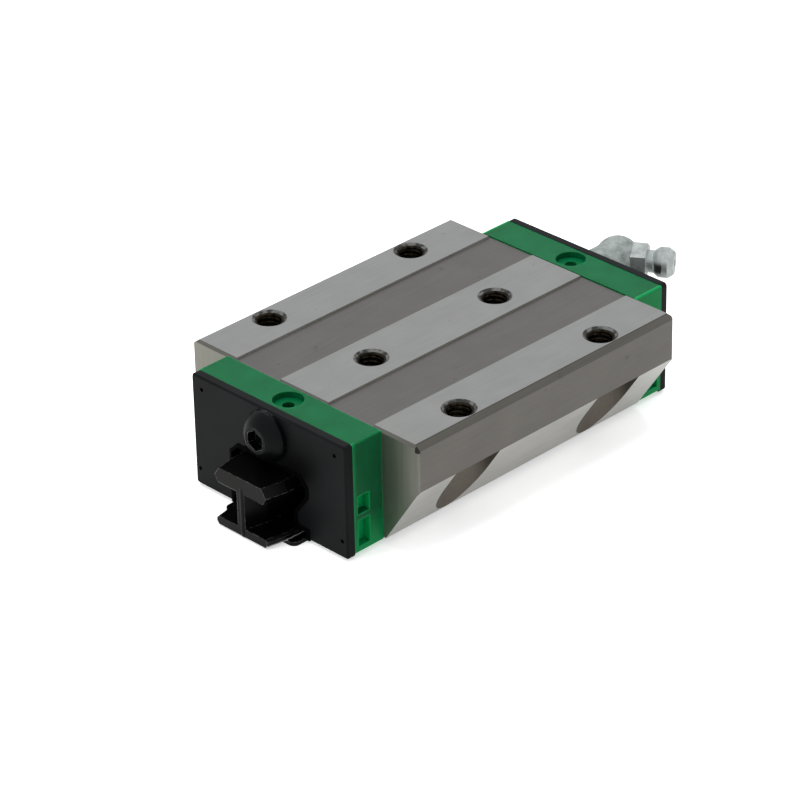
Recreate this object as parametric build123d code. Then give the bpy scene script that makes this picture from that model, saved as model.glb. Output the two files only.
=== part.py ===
from build123d import *
import os
from math import cos, hypot, pi, radians, sin

# The frame: origin at the centre of the mounting face, X along the rail, Z up, millimetres.

# Mounting holes of the block
bolt_pitch_x = 40.0
bolt_edge = 5.0
centre_pitch_x = 35.0
tapped_radius = 2.55
countersink_radius = 3.6
countersink_depth = 0.7
centre_hole_depth = 8.0
drill_tip_depth = 1.2

# Steel body
block_length = 72.3
flange_width = 63.0
flange_side_depth = 10.0
block_depth = 23.9
leg_outer_width = 44.4
land_edge_width = 1.3
land_edge_drop = 1.1
side_land_inner = 19.2
centre_land_half = 6.7
relief_depth = 0.45
end_chamfer = 0.55
corner_radius = 0.4
pocket_radius = 6.1
pocket_offset = 1.9

# The profile rail that the block is made for
running_height = 30.0
rail_height = 18.0
rail_width = 20.0
rail_waist_width = 13.4
rail_base_height = 6.6
rail_waist_low = 8.2
rail_waist_high = 10.4
rail_head_low = 14.8
rail_head_high = 16.4
rail_shoulder_width = 16.0
rail_top_bevel = 1.6

# Balls, measured from the rail's top corner out and down, and from the loaded row to its return
ball_diameter = 3.969
ball_play = 0.06
track_clearance = 0.04
return_clearance = 0.12
upper_row_out = 0.6
upper_row_drop = 0.9
lower_row_out = 0.2
lower_row_drop = 6.1
upper_return_out = 5.6
upper_return_rise = 2.7
lower_return_out = 6.6
lower_return_rise = 1.6
ball_facet = 0.717

# Channel in the steel
channel_gap = 0.9
channel_roof_gap = 1.1
channel_wall_gap = 1.6
channel_nose_gap = 2.5
channel_bevel = 2.3
nose_top_drop = 8.2
nose_bottom_drop = 10.3

# End caps
cap_width = 43.1
cap_length = 7.65
cap_top_drop = 0.2
cap_bottom_depth = 24.2
cap_edge_radius = 0.35
cap_rail_gap = 0.9
recess_radius = 3.15
recess_depth = 1.25
feed_radius = 1.25
feed_groove_width = 1.6
feed_groove_depth = 0.8
window_margin = 1.0
window_width = 3.1
window_depth = 1.8
window_bottom_margin = 1.1
lower_window_height = 5.8
window_rib = 1.3
upper_window_height = 4.0

# End seals and lips
seal_thickness = 1.95
seal_top_drop = 0.1
seal_bottom_depth = 25.0
seal_bevel = 0.4
seal_corner = 0.8
lip_width = 0.7
lip_stand = 0.2
lip_gap = 0.3
pit_radius = 0.45
pit_depth = 0.6
pit_upper_y = 18.6
pit_upper_depth = 2.85
pit_lower_y = 20.1
pit_lower_depth = 21.2

# Retainer strips, return guides and bottom seals
strip_gap = 0.25
strip_thickness = 0.45
strip_height = 2.1
strip_drop = 3.35
strip_insert = 1.5
strip_fit = 0.05
tongue_height = 3.2
bridge_share = 0.68
guide_fit = 0.05
bottom_seal_thickness = 0.9
bottom_seal_outer = 17.0

# Small screws of the caps
screw_radius = 1.25
screw_fit = 0.05
screw_length = 9.0
screw_head_radius = 2.2
screw_head_height = 1.5
screw_sink = 2.4
screw_socket = 1.5
screw_socket_depth = 0.9
upper_screw_y = 16.5
upper_screw_depth = 4.2
lower_screw_y = 15.6
lower_screw_depth = 21.7

# Lube port, plug and grease nipple
port_depth = 5.6
port_radius = 3.0
port_fit = 0.05
port_thread_length = 4.5
plug_head_radius = 5.25
plug_head_height = 3.3
plug_crown_radius = 2.8
plug_rim = 0.8
plug_bulge = 0.4
plug_socket = 4.0
plug_socket_depth = 2.0
elbow_radius = 4.9
neck_radius = 4.3
elbow_reach = 8.55
elbow_turn = 33.0
outlet_face = 3.1
grease_bore_radius = 1.0
spigot_radius = 2.0
spigot_length = 1.8
nipple_hex = 7.0
nipple_hex_turn = -5.0
nipple_hex_length = 3.2
nipple_waist_radius = 2.4
nipple_waist_length = 1.35
nipple_head_radius = 3.25
nipple_head_length = 4.35
nipple_taper = 1.2
nipple_mouth_radius = 0.8
nipple_mouth_length = 0.5
nipple_bore_radius = 1.1
check_ball_radius = 0.95
check_ball_gap = 0.02

# Transport rail
dummy_length = 106.8
dummy_height = 13.0
dummy_nose_length = 5.0
dummy_top_half = 6.8
dummy_tip_half = 8.2
dummy_under_half = 7.2
dummy_tip_drop = 1.9
dummy_head_height = 3.4
dummy_web_half = 2.1
dummy_base_height = 1.85
dummy_base_half = 8.0
dummy_base_bevel = 0.5
dummy_foot_setback = 4.3
dummy_foot_drop = 0.4
dummy_foot_height = 0.9
dummy_foot_corner = 1.4
head_narrowing = 0.95
web_narrowing = 1.05
base_narrowing = 0.9

# Places worked out from the sizes above
block_end = block_length / 2
cap_end = block_end + cap_length
seal_end = cap_end + seal_thickness
side_y = flange_width / 2
bolt_pitch_y = flange_width - 2 * bolt_edge
rail_top = rail_height - running_height
rail_half = rail_width / 2
waist_half = rail_waist_width / 2
ball_radius = ball_diameter / 2
track_radius = ball_radius + track_clearance
return_radius = ball_radius + return_clearance
load_upper = (rail_half + upper_row_out, rail_top - upper_row_drop)
load_lower = (rail_half + lower_row_out, rail_top - lower_row_drop)
return_upper = (load_upper[0] + upper_return_out, load_upper[1] + upper_return_rise)
return_lower = (load_lower[0] + lower_return_out, load_lower[1] + lower_return_rise)
rows = {"upper": (load_upper, return_upper), "lower": (load_lower, return_lower)}
screw_places = ((upper_screw_y, -upper_screw_depth), (lower_screw_y, -lower_screw_depth))
strip_inner = dummy_tip_half + strip_gap
strip_outer = strip_inner + strip_thickness
strip_z = rail_top - strip_drop
elbow_x = seal_end + elbow_reach


def across(half_points):
    """A face across the rail, from the points of its +Y half, bottom to top."""
    other_half = [(-y, z) for y, z in reversed(half_points)]
    outline = Polyline(*half_points, *other_half, close=True)
    return Plane.YZ * make_face(outline.edges())


def along(face, start, length):
    """The face drawn out along the rail from start."""
    return Pos(start, 0, 0) * extrude(face, length, dir=(1, 0, 0))


def rod(radius, start, length, y, z):
    """A round rod along the rail."""
    return Pos(start + length / 2, y, z) * Rot(0, 90, 0) * Cylinder(radius, length)


def block_between(low, high):
    """A plain block from its lowest to its highest corner."""
    size = [b - a for a, b in zip(low, high)]
    middle = [(a + b) / 2 for a, b in zip(low, high)]
    return Pos(*middle) * Box(*size)


def rail_face(gap):
    """The rail's section, gap wider all round."""
    base = -running_height
    points = [
        (rail_half, base),
        (rail_half, base + rail_base_height),
        (rail_shoulder_width / 2, base + rail_base_height),
        (waist_half, base + rail_waist_low),
        (waist_half, base + rail_waist_high),
        (rail_half, base + rail_head_low),
        (rail_half, base + rail_head_high),
        (rail_half - rail_top_bevel, rail_top),
    ]
    return offset(across(points), gap, kind=Kind.INTERSECTION)


def turn_plane(row, side):
    """The plane of a ball turn at the steel's end, its X along the rail."""
    (load_y, load_z), (back_y, back_z) = rows[row]
    middle = (block_end, side * (load_y + back_y) / 2, (load_z + back_z) / 2)
    normal = (0, -(back_z - load_z), side * (back_y - load_y))
    return Plane(origin=middle, x_dir=(1, 0, 0), z_dir=normal)


def turn_radius(row):
    """Half the distance between a loaded row and its return."""
    (load_y, load_z), (back_y, back_z) = rows[row]
    return hypot(back_y - load_y, back_z - load_z) / 2


# Steel body

def steel_outline():
    """The flanged section, without the channel."""
    leg_half = leg_outer_width / 2
    return across([
        (leg_half, -block_depth),
        (side_y, -flange_side_depth),
        (side_y, -land_edge_drop),
        (side_y - land_edge_width, 0),
        (side_land_inner, 0),
        (side_land_inner, -relief_depth),
        (centre_land_half, -relief_depth),
        (centre_land_half, 0),
    ])


def channel():
    """The room round the rail's head, with a nose under the lower ball row."""
    wall = rail_half + channel_wall_gap
    mouth = rail_half + channel_gap
    nose = waist_half + channel_nose_gap
    roof = rail_top + channel_roof_gap
    nose_top = rail_top - nose_top_drop
    nose_bottom = rail_top - nose_bottom_drop
    return across([
        (mouth, -running_height),
        (mouth, nose_bottom),
        (nose, nose_bottom),
        (nose, nose_top),
        (wall, nose_top + wall - nose),
        (wall, roof - channel_bevel),
        (wall - channel_bevel, roof),
    ])


def mounting_hole(x, y, depth):
    """A tapped hole with its countersink, cut down from the mounting face."""
    hole = Pos(x, y, -depth / 2) * Cylinder(tapped_radius, depth)
    mouth = Pos(x, y, -countersink_depth / 2) * Cone(tapped_radius, countersink_radius, countersink_depth)
    return hole + mouth


def screw_pocket(x, y):
    """The milled slot under a flange hole, round at its inner end and open at the flange's edge."""
    hand = 1 if y > 0 else -1
    height = running_height - flange_side_depth
    inner_y = y + pocket_offset * hand
    reach = side_y - abs(inner_y)
    z = -flange_side_depth - height / 2
    round_end = Pos(x, inner_y, z) * Cylinder(pocket_radius, height)
    return round_end + Pos(x, inner_y + hand * reach / 2, z) * Box(2 * pocket_radius, reach, height)


def mounting_holes():
    """Four flange holes over their pockets, and two blind holes down the middle."""
    holes = []
    for x in (-bolt_pitch_x / 2, bolt_pitch_x / 2):
        for y in (-bolt_pitch_y / 2, bolt_pitch_y / 2):
            holes.append(mounting_hole(x, y, flange_side_depth))
            holes.append(screw_pocket(x, y))
    for x in (-centre_pitch_x / 2, centre_pitch_x / 2):
        holes.append(mounting_hole(x, 0, centre_hole_depth))
        tip = Cone(0, tapped_radius, drill_tip_depth)
        holes.append(Pos(x, 0, -centre_hole_depth - drill_tip_depth / 2) * tip)
    return holes


def ball_bores():
    """Raceways and return bores through the steel, both sides."""
    bores = []
    for side in (-1, 1):
        for load, back in rows.values():
            bores.append(rod(track_radius, -block_end, block_length, side * load[0], load[1]))
            bores.append(rod(return_radius, -block_end, block_length, side * back[0], back[1]))
    return bores


def screw_holes(start, length, radius):
    """The four holes of the cap screws at one end."""
    return [rod(radius, start, length, side * y, z) for side in (-1, 1) for y, z in screw_places]


def end_bevel():
    """The wedge taken off the lands at the +X end."""
    corners = [
        (block_end - 2 * end_chamfer, end_chamfer),
        (block_end + end_chamfer, -2 * end_chamfer),
        (block_end + end_chamfer, end_chamfer),
    ]
    wedge = Plane.XZ * make_face(Polyline(*corners, close=True).edges())
    return extrude(wedge, side_y, both=True)


def carriage_block():
    """The flanged steel body."""
    body = along(steel_outline(), -block_end, block_length)
    corners = [e for e in body.edges().filter_by(Axis.Z) if abs(e.center().Y) > side_y - land_edge_width]
    body = fillet(corners, corner_radius)
    body -= [end_bevel(), mirror(end_bevel(), Plane.YZ)]
    body -= along(channel(), -block_end, block_length)
    body -= ball_bores()
    body -= mounting_holes()
    screw_depth = screw_length - (cap_length - screw_sink) + screw_radius
    body -= screw_holes(block_end - screw_depth, screw_depth, screw_radius + screw_fit)
    body -= screw_holes(-block_end, screw_depth, screw_radius + screw_fit)
    return body


# End caps, drawn at the +X end

def side_windows():
    """Two core pockets in each side of the cap, with a rib between them."""
    x_high = cap_end - window_margin
    x_low = x_high - window_width
    y_high = cap_width / 2
    z_low = window_bottom_margin - cap_bottom_depth
    z_rib = z_low + lower_window_height
    z_high = z_rib + window_rib + upper_window_height
    lower = block_between((x_low, y_high - window_depth, z_low), (x_high, y_high, z_rib))
    upper = block_between((x_low, y_high - window_depth, z_rib + window_rib), (x_high, y_high, z_high))
    return [lower, upper, mirror(lower, Plane.XZ), mirror(upper, Plane.XZ)]


def turn_pockets():
    """The outer half of each ball turn, and the seat of the guide's bridge."""
    cuts = []
    for side in (-1, 1):
        for row in rows:
            reach = turn_radius(row) + return_radius
            cuts.append(turn_plane(row, side) * Cylinder(reach, 2 * return_radius))
        cuts.append(bridge(side, guide_fit))
    return cuts


def grease_feed():
    """The lube recess on top, its feed hole, the threaded port and the groove to the ball turns."""
    middle = block_end + cap_length / 2
    top = -cap_top_drop
    floor_z = top - recess_depth
    recess = Pos(middle, 0, top - recess_depth / 2) * Cylinder(recess_radius, recess_depth)
    feed = Pos(middle, 0, (floor_z - port_depth) / 2) * Cylinder(feed_radius, port_depth + floor_z)
    port = rod(port_radius + port_fit, block_end, cap_length, 0, -port_depth)
    groove_y = (return_upper[0] + load_upper[0]) / 2
    groove_low = (-groove_y, -port_depth - feed_groove_width / 2)
    groove_high = (groove_y, -port_depth + feed_groove_width / 2)
    groove = block_between((block_end, *groove_low), (block_end + feed_groove_depth, *groove_high))
    drop_z = (return_upper[1] + load_upper[1]) / 2
    drops = [
        block_between(
            (block_end, side * groove_y - feed_groove_width / 2, drop_z),
            (block_end + feed_groove_depth, side * groove_y + feed_groove_width / 2, groove_high[1]),
        )
        for side in (-1, 1)
    ]
    return [recess, feed, port, groove, *drops]


def strip_tongues():
    """Two tongues that the retainer strips lie against."""
    low = (block_end, strip_outer + strip_fit, strip_z - tongue_height / 2)
    high = (cap_end, rail_half + channel_wall_gap, strip_z + tongue_height / 2)
    tongue = block_between(low, high)
    return [tongue, mirror(tongue, Plane.XZ)]


def end_cap():
    """The moulded cap that turns the balls round."""
    half = cap_width / 2
    face = across([(half, -cap_bottom_depth), (half, -cap_top_drop)])
    body = along(face, block_end, cap_length)
    long_edges = [e for e in body.edges().filter_by(Axis.X) if e.center().Z > -cap_bottom_depth / 2]
    body = fillet(long_edges, cap_edge_radius)
    body -= along(rail_face(cap_rail_gap), block_end, cap_length)
    body += strip_tongues()
    body -= turn_pockets()
    body -= side_windows()
    body -= grease_feed()
    body -= screw_holes(block_end, cap_length, screw_radius + screw_fit)
    body -= screw_holes(cap_end - screw_sink, screw_sink, screw_head_radius + screw_fit)
    return body


def cap_screws():
    """Four socket screws in the cap, under the end seal."""
    screws = []
    seat = cap_end - screw_sink
    for side in (-1, 1):
        for y, z in screw_places:
            shank = rod(screw_radius, seat - screw_length, screw_length, side * y, z)
            head = rod(screw_head_radius, seat, screw_head_height, side * y, z)
            socket_plane = Plane(origin=(seat + screw_head_height, side * y, z), z_dir=(-1, 0, 0))
            hexagon = RegularPolygon(screw_socket / 2, 6, major_radius=False)
            socket = extrude(socket_plane * hexagon, screw_socket_depth)
            screws.append(shank + head - socket)
    return Compound(children=screws)


# Return guides and ball circuits

def bridge(side, fit):
    """The flat web between the two half-round posts of a guide."""
    upper = turn_plane("upper", side).origin
    lower = turn_plane("lower", side).origin
    middle = (upper + lower) / 2
    span = (upper - lower).length
    plane = Plane(origin=middle, x_dir=(1, 0, 0), z_dir=lower - upper)
    width = 2 * bridge_share * (turn_radius("upper") - return_radius) + 2 * fit
    web = Box(width, width, span)
    return (plane * web) & block_between((block_end, -side_y, -block_depth), (seal_end, side_y, 0))


def return_guide(side):
    """The inner half of both ball turns on one side, drawn at the +X end."""
    keep = block_between((block_end, -side_y, -block_depth), (cap_end, side_y, 0))
    guide = bridge(side, 0)
    for row in rows:
        post = Cylinder(turn_radius(row) - return_radius, 2 * (return_radius - guide_fit))
        guide += (turn_plane(row, side) * post) & keep
    return guide


def circuit_point(row, distance):
    """Where a ball centre lies after rolling a distance round its circuit, on the +Y side."""
    (load_y, load_z), (back_y, back_z) = rows[row]
    radius = turn_radius(row)
    turn = pi * radius
    share = 0
    if distance < block_length:
        x = distance - block_end
    elif distance < block_length + turn:
        angle = (distance - block_length) / radius
        x = block_end + radius * sin(angle)
        share = (1 - cos(angle)) / 2
    elif distance < 2 * block_length + turn:
        x = block_end - (distance - block_length - turn)
        share = 1
    else:
        angle = (distance - 2 * block_length - turn) / radius
        x = -block_end - radius * sin(angle)
        share = (1 + cos(angle)) / 2
    return x, load_y + share * (back_y - load_y), load_z + share * (back_z - load_z)


def faceted_ball():
    """One ball with 26 flat faces, its corners on the true ball's surface."""
    edge = ball_radius * ball_facet
    side = edge * (1 + 2 ** 0.5)
    cube = Box(side, side, side)
    return chamfer(cube.edges(), (side - edge) / 2)


def ball_circuit(row, side):
    """A full circuit of balls, as many as fit with a little play."""
    path = 2 * block_length + 2 * pi * turn_radius(row)
    count = int(path / (ball_diameter + ball_play))
    ball = faceted_ball()
    balls = []
    for index in range(count):
        x, y, z = circuit_point(row, index * path / count)
        balls.append(Pos(x, side * y, z) * ball)
    return Compound(children=balls)


def ball_retainer(side):
    """The thin steel strip between the loaded rows of one side."""
    reach = block_end + strip_insert
    low = (-reach, strip_inner, strip_z - strip_height / 2)
    high = (reach, strip_outer, strip_z + strip_height / 2)
    strip = block_between(low, high)
    return strip if side > 0 else mirror(strip, Plane.XZ)


def bottom_seal(side):
    """The long seal under one leg, its edge close to the rail."""
    low = (-block_end, rail_half + lip_gap, -block_depth - bottom_seal_thickness)
    high = (block_end, bottom_seal_outer, -block_depth)
    strip = block_between(low, high)
    return strip if side > 0 else mirror(strip, Plane.XZ)


# End seals, drawn at the +X end

def end_seal():
    """The seal plate, cut out round the lip, with a bevelled front edge and four small pits."""
    half = cap_width / 2
    face = across([(half, -seal_bottom_depth), (half, -seal_top_drop)])
    plate = along(face, cap_end, seal_thickness)
    plate = fillet(plate.edges().filter_by(Axis.X), seal_corner)
    plate = chamfer(plate.faces().sort_by(Axis.X)[-1].edges(), seal_bevel)
    plate -= along(rail_face(lip_gap + lip_width), cap_end, seal_thickness)
    plate -= rod(port_radius + 2 * port_fit, cap_end, seal_thickness, 0, -port_depth)
    pits = ((pit_upper_y, -pit_upper_depth), (pit_lower_y, -pit_lower_depth))
    for y, z in pits:
        pit = rod(pit_radius, seal_end - pit_depth, pit_depth, y, z)
        plate -= [pit, mirror(pit, Plane.XZ)]
    return plate


def wiper_lip():
    """The soft lip round the opening, standing a little proud of the plate."""
    ring = rail_face(lip_gap + lip_width) - rail_face(lip_gap)
    lip = along(ring, cap_end, seal_thickness + lip_stand)
    return lip & block_between((cap_end, -side_y, -seal_bottom_depth), (elbow_x, side_y, 0))


# Plug and grease nipple

def lube_plug():
    """A button-head socket screw in the front port."""
    face_x = -seal_end
    rim = (plug_head_radius, plug_rim)
    crown = (plug_crown_radius, plug_head_height)
    profile = make_face([
        Line((0, 0), (plug_head_radius, 0)),
        Line((plug_head_radius, 0), rim),
        SagittaArc(crown, rim, plug_bulge),
        Line((plug_crown_radius, plug_head_height), (0, plug_head_height)),
        Line((0, plug_head_height), (0, 0)),
    ])
    head = revolve(Plane.XZ * profile, Axis.Z)
    socket = extrude(Plane.XY * RegularPolygon(plug_socket / 2, 6, major_radius=False), plug_socket_depth)
    head -= Pos(0, 0, plug_head_height - plug_socket_depth) * socket
    shank_length = seal_thickness + port_thread_length
    head += Pos(0, 0, -shank_length / 2) * Cylinder(port_radius, shank_length)
    return Pos(face_x, 0, -port_depth) * Rot(0, -90, 0) * head


def outlet_place():
    """The nipple's own place: its origin in the elbow's bend, +Z along the outlet."""
    turn = radians(elbow_turn)
    return Plane(origin=(elbow_x, 0, -port_depth), x_dir=(0, 0, 1), z_dir=(sin(turn), -cos(turn), 0))


def nipple_elbow():
    """The forged elbow with its threaded end in the rear port."""
    bend = Pos(elbow_x, 0, -port_depth) * Sphere(elbow_radius)
    body = bend + rod(neck_radius, seal_end, elbow_reach, 0, -port_depth)
    beyond = Cylinder(2 * elbow_radius, 2 * elbow_radius)
    body -= outlet_place() * Pos(0, 0, outlet_face + elbow_radius) * beyond
    thread_start = cap_end - port_thread_length
    body += rod(port_radius, thread_start, seal_end - thread_start, 0, -port_depth)
    body -= rod(grease_bore_radius, thread_start, elbow_x - thread_start, 0, -port_depth)
    spigot_hole = Cylinder(spigot_radius + port_fit, spigot_length)
    body -= outlet_place() * Pos(0, 0, outlet_face - spigot_length / 2) * spigot_hole
    body -= outlet_place() * Pos(0, 0, outlet_face / 2) * Cylinder(grease_bore_radius, outlet_face)
    return body


def nipple_tip():
    """How far the nipple's mouth lies from the elbow's bend."""
    return outlet_face + nipple_hex_length + nipple_waist_length + nipple_head_length


def nipple_head():
    """The turned nipple: spigot, hexagon, waist and coupling head, bored for its check ball."""
    tip = nipple_tip()
    hexagon = RegularPolygon(nipple_hex / 2, 6, major_radius=False, rotation=nipple_hex_turn)
    body = Pos(0, 0, outlet_face) * extrude(hexagon, nipple_hex_length)
    body += Pos(0, 0, outlet_face - spigot_length / 2) * Cylinder(spigot_radius, spigot_length)
    waist_start = outlet_face + nipple_hex_length
    head_start = waist_start + nipple_waist_length
    waist = Cylinder(nipple_waist_radius, nipple_waist_length)
    body += Pos(0, 0, waist_start + nipple_waist_length / 2) * waist
    skirt = Cone(nipple_waist_radius, nipple_head_radius, nipple_taper)
    body += Pos(0, 0, head_start + nipple_taper / 2) * skirt
    band = nipple_head_length - 2 * nipple_taper
    body += Pos(0, 0, head_start + nipple_taper + band / 2) * Cylinder(nipple_head_radius, band)
    nose = Cone(nipple_head_radius, nipple_waist_radius, nipple_taper)
    body += Pos(0, 0, tip - nipple_taper / 2) * nose
    bore_low = outlet_face - spigot_length
    bore_high = tip - nipple_mouth_length
    body -= Pos(0, 0, (bore_low + bore_high) / 2) * Cylinder(nipple_bore_radius, bore_high - bore_low)
    body -= Pos(0, 0, tip - nipple_mouth_length / 2) * Cylinder(nipple_mouth_radius, nipple_mouth_length)
    return outlet_place() * body


def nipple_check_ball():
    """The ball that closes the nipple's mouth from inside."""
    behind_edge = (check_ball_radius ** 2 - nipple_mouth_radius ** 2) ** 0.5
    centre = nipple_tip() - nipple_mouth_length - behind_edge - check_ball_gap
    return outlet_place() * Pos(0, 0, centre) * Sphere(check_ball_radius)


# Transport rail

def dummy_outline(head_less, web_less, base_less):
    """The moulded I section, each part of it narrower by the given amount."""
    base = rail_top - dummy_height
    head_low = rail_top - dummy_head_height
    web_half = dummy_web_half - web_less
    base_half = dummy_base_half - base_less
    return across([
        (base_half - dummy_base_bevel, base),
        (base_half, base + dummy_base_bevel),
        (base_half, base + dummy_base_height - dummy_base_bevel),
        (base_half - dummy_base_bevel, base + dummy_base_height),
        (web_half, base + dummy_base_height),
        (web_half, head_low),
        (dummy_under_half - head_less, head_low),
        (dummy_tip_half - head_less, rail_top - dummy_tip_drop),
        (dummy_top_half - head_less, rail_top),
    ])


def foot_plate():
    """The wide foot of the transport rail, as wide as the real rail."""
    reach = dummy_length / 2 - dummy_foot_setback
    low = rail_top - dummy_height - dummy_foot_drop
    plate = block_between((-reach, -rail_half, low), (reach, rail_half, low + dummy_foot_height))
    return fillet(plate.edges().filter_by(Axis.Z), dummy_foot_corner)


def transport_rail():
    """The dummy rail, with a narrowed nose at each end."""
    straight = dummy_length / 2 - dummy_nose_length
    full = dummy_outline(0, 0, 0)
    body = along(full, -straight, 2 * straight)
    root = Pos(straight, 0, 0) * full
    nose_end = dummy_outline(head_narrowing, web_narrowing, base_narrowing)
    tip = Pos(dummy_length / 2, 0, 0) * nose_end
    nose = loft([root, tip], ruled=True)
    return body + nose + mirror(nose, Plane.YZ) + foot_plate()


def build_nodes():
    """Every piece under its own name."""
    nodes = {"carriage_block": carriage_block(), "transport_rail": transport_rail()}
    rear_pieces = {
        "end_cap": end_cap(),
        "end_seal": end_seal(),
        "wiper_lip": wiper_lip(),
        "cap_screws": cap_screws(),
    }
    for name, piece in rear_pieces.items():
        nodes[name + "_rear"] = piece
        nodes[name + "_front"] = mirror(piece, Plane.YZ)
    for hand, side in (("left", 1), ("right", -1)):
        guide = return_guide(side)
        nodes["return_guide_rear_" + hand] = guide
        nodes["return_guide_front_" + hand] = mirror(guide, Plane.YZ)
        nodes["ball_retainer_" + hand] = ball_retainer(side)
        nodes["bottom_seal_" + hand] = bottom_seal(side)
        for row in rows:
            nodes["ball_circuit_" + row + "_" + hand] = ball_circuit(row, side)
    nodes["lube_plug"] = lube_plug()
    nodes["nipple_elbow"] = nipple_elbow()
    nodes["nipple_head"] = nipple_head()
    nodes["nipple_check_ball"] = nipple_check_ball()
    return nodes


os.makedirs("parts", exist_ok=True)
for node_name, node_shape in build_nodes().items():
    export_step(node_shape, "parts/" + node_name + ".step")
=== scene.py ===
# %% [markdown]
# # A linear bearing block
#
# This scene dresses the carriage of a profile rail guide: a steel body that runs on balls, two green plastic
# end caps, dark end seals, a black plug, a zinc-plated grease nipple, and the black dummy rail that keeps
# the balls in until the carriage goes on its real rail. The CAD model gives every size. The scene adds what
# a catalogue photograph shows: ground and milled steel, moulded plastic, threads, round balls and worn edges.
#
# First the frame is loaded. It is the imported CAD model, in metres, and it is never moved.

# %% Load the frame
from math import cos, pi, radians, sin

import bmesh
import bpy
from mathutils import Matrix, Vector, noise


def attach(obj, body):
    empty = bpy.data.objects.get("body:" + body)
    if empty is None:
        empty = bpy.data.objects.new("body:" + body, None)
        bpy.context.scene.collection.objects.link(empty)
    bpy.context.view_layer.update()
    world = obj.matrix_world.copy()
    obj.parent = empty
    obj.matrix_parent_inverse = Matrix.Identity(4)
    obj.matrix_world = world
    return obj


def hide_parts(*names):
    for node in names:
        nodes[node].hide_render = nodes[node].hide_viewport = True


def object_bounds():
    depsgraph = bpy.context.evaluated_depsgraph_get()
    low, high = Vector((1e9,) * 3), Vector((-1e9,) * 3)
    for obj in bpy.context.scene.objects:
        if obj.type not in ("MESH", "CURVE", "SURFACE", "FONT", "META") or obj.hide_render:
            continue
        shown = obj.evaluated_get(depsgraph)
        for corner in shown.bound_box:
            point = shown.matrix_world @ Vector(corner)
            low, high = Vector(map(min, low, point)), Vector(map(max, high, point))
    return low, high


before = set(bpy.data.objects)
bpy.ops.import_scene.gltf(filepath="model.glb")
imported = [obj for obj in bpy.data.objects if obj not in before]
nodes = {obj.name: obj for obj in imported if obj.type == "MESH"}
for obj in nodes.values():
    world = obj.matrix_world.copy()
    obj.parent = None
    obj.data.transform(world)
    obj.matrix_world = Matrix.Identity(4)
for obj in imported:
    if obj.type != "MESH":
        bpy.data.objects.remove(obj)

cad_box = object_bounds()
scene = bpy.context.scene
MM = 0.001
print("CAD nodes:", len(nodes), "box:", cad_box)

# %% [markdown]
# A few small tools are used all through. Colours are picked as sRGB hex values, the way a colour picker
# shows them, but shaders compute in linear light, so one function turns hex into linear. One function adds
# a shader node with its settings and links, so that a material reads as a list of steps. One makes a new
# object from plain lists of points and faces. A mask for edges is kept here too, because several finishes
# wear or glow there.

# %% Tools
def linear(hex_colour):
    """sRGB hex to a linear colour with alpha 1."""
    channels = [int(hex_colour[i:i + 2], 16) / 255 for i in (1, 3, 5)]
    bent = [c / 12.92 if c <= 0.04045 else ((c + 0.055) / 1.055) ** 2.4 for c in channels]
    return (*bent, 1.0)


def add(tree, kind, values=None, feeds=None, **options):
    """Adds one shader node: options are its own settings, values fill its sockets, feeds link into them."""
    node = tree.nodes.new("ShaderNode" + kind)
    for name, value in options.items():
        setattr(node, name, value)
    for name, value in (values or {}).items():
        node.inputs[name].default_value = value
    for name, socket in (feeds or {}).items():
        tree.links.new(socket, node.inputs[name])
    return node


def new_material(name, base, roughness, metallic=0.0, **more):
    """An empty material with one Principled shader, ready for its pattern nodes."""
    material = bpy.data.materials.new(name)
    material.use_nodes = True
    tree = material.node_tree
    shader = tree.nodes["Principled BSDF"]
    shader.inputs["Base Color"].default_value = linear(base)
    shader.inputs["Roughness"].default_value = roughness
    shader.inputs["Metallic"].default_value = metallic
    for socket, value in more.items():
        shader.inputs[socket.replace("_", " ")].default_value = value
    return material, tree, shader


def near_an_edge(tree, radius, soft=0.985, sharp=0.93):
    """A mask that is 1 on sharp edges and 0 on flat faces."""
    rounded = add(tree, "Bevel", {"Radius": radius}, samples=6)
    true_facing = add(tree, "NewGeometry")
    both_ways = {0: rounded.outputs[0], 1: true_facing.outputs["Normal"]}
    agree = add(tree, "VectorMath", feeds=both_ways, operation="DOT_PRODUCT")
    mask = add(tree, "MapRange", {"From Min": soft, "From Max": sharp}, {0: agree.outputs["Value"]})
    return mask.outputs[0]


def dress(material, *names):
    """Gives CAD nodes their finish."""
    for name in names:
        slots = nodes[name].material_slots
        if not slots:
            nodes[name].data.materials.append(material)
        for slot in slots:
            slot.material = material
    print(material.name, "on", ", ".join(names))


def new_piece(name, points, faces, material, smooth=True):
    """A new mesh object from points in metres."""
    mesh = bpy.data.meshes.new(name)
    mesh.from_pydata([tuple(p) for p in points], [], faces)
    mesh.materials.append(material)
    mesh.polygons.foreach_set("use_smooth", [smooth] * len(mesh.polygons))
    mesh.update()
    piece = bpy.data.objects.new(name, mesh)
    scene.collection.objects.link(piece)
    return piece


print("tools ready")

# %% [markdown]
# The camera stands where the photographer's did. Its place comes from the size-20 carriage's known hole
# pattern: six holes at 53 by 40 and 35 mm fix the azimuth, the height and a very long lens. A long lens is
# what product photographers use to keep parallel edges nearly parallel.

# %% Camera
azimuth, elevation, roll = radians(-44.322), radians(29.640), radians(1.265)
camera_place = Vector((-474.581, -475.820, 365.638)) * MM
focal_pixels, picture_pixels, sensor_width = 3846.12, 800, 36.0
forward = Vector((-sin(azimuth) * cos(elevation), cos(azimuth) * cos(elevation), -sin(elevation)))
level_right = forward.cross(Vector((0, 0, 1))).normalized()
level_down = forward.cross(level_right)
right = cos(roll) * level_right + sin(roll) * level_down
down = cos(roll) * level_down - sin(roll) * level_right

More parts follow.
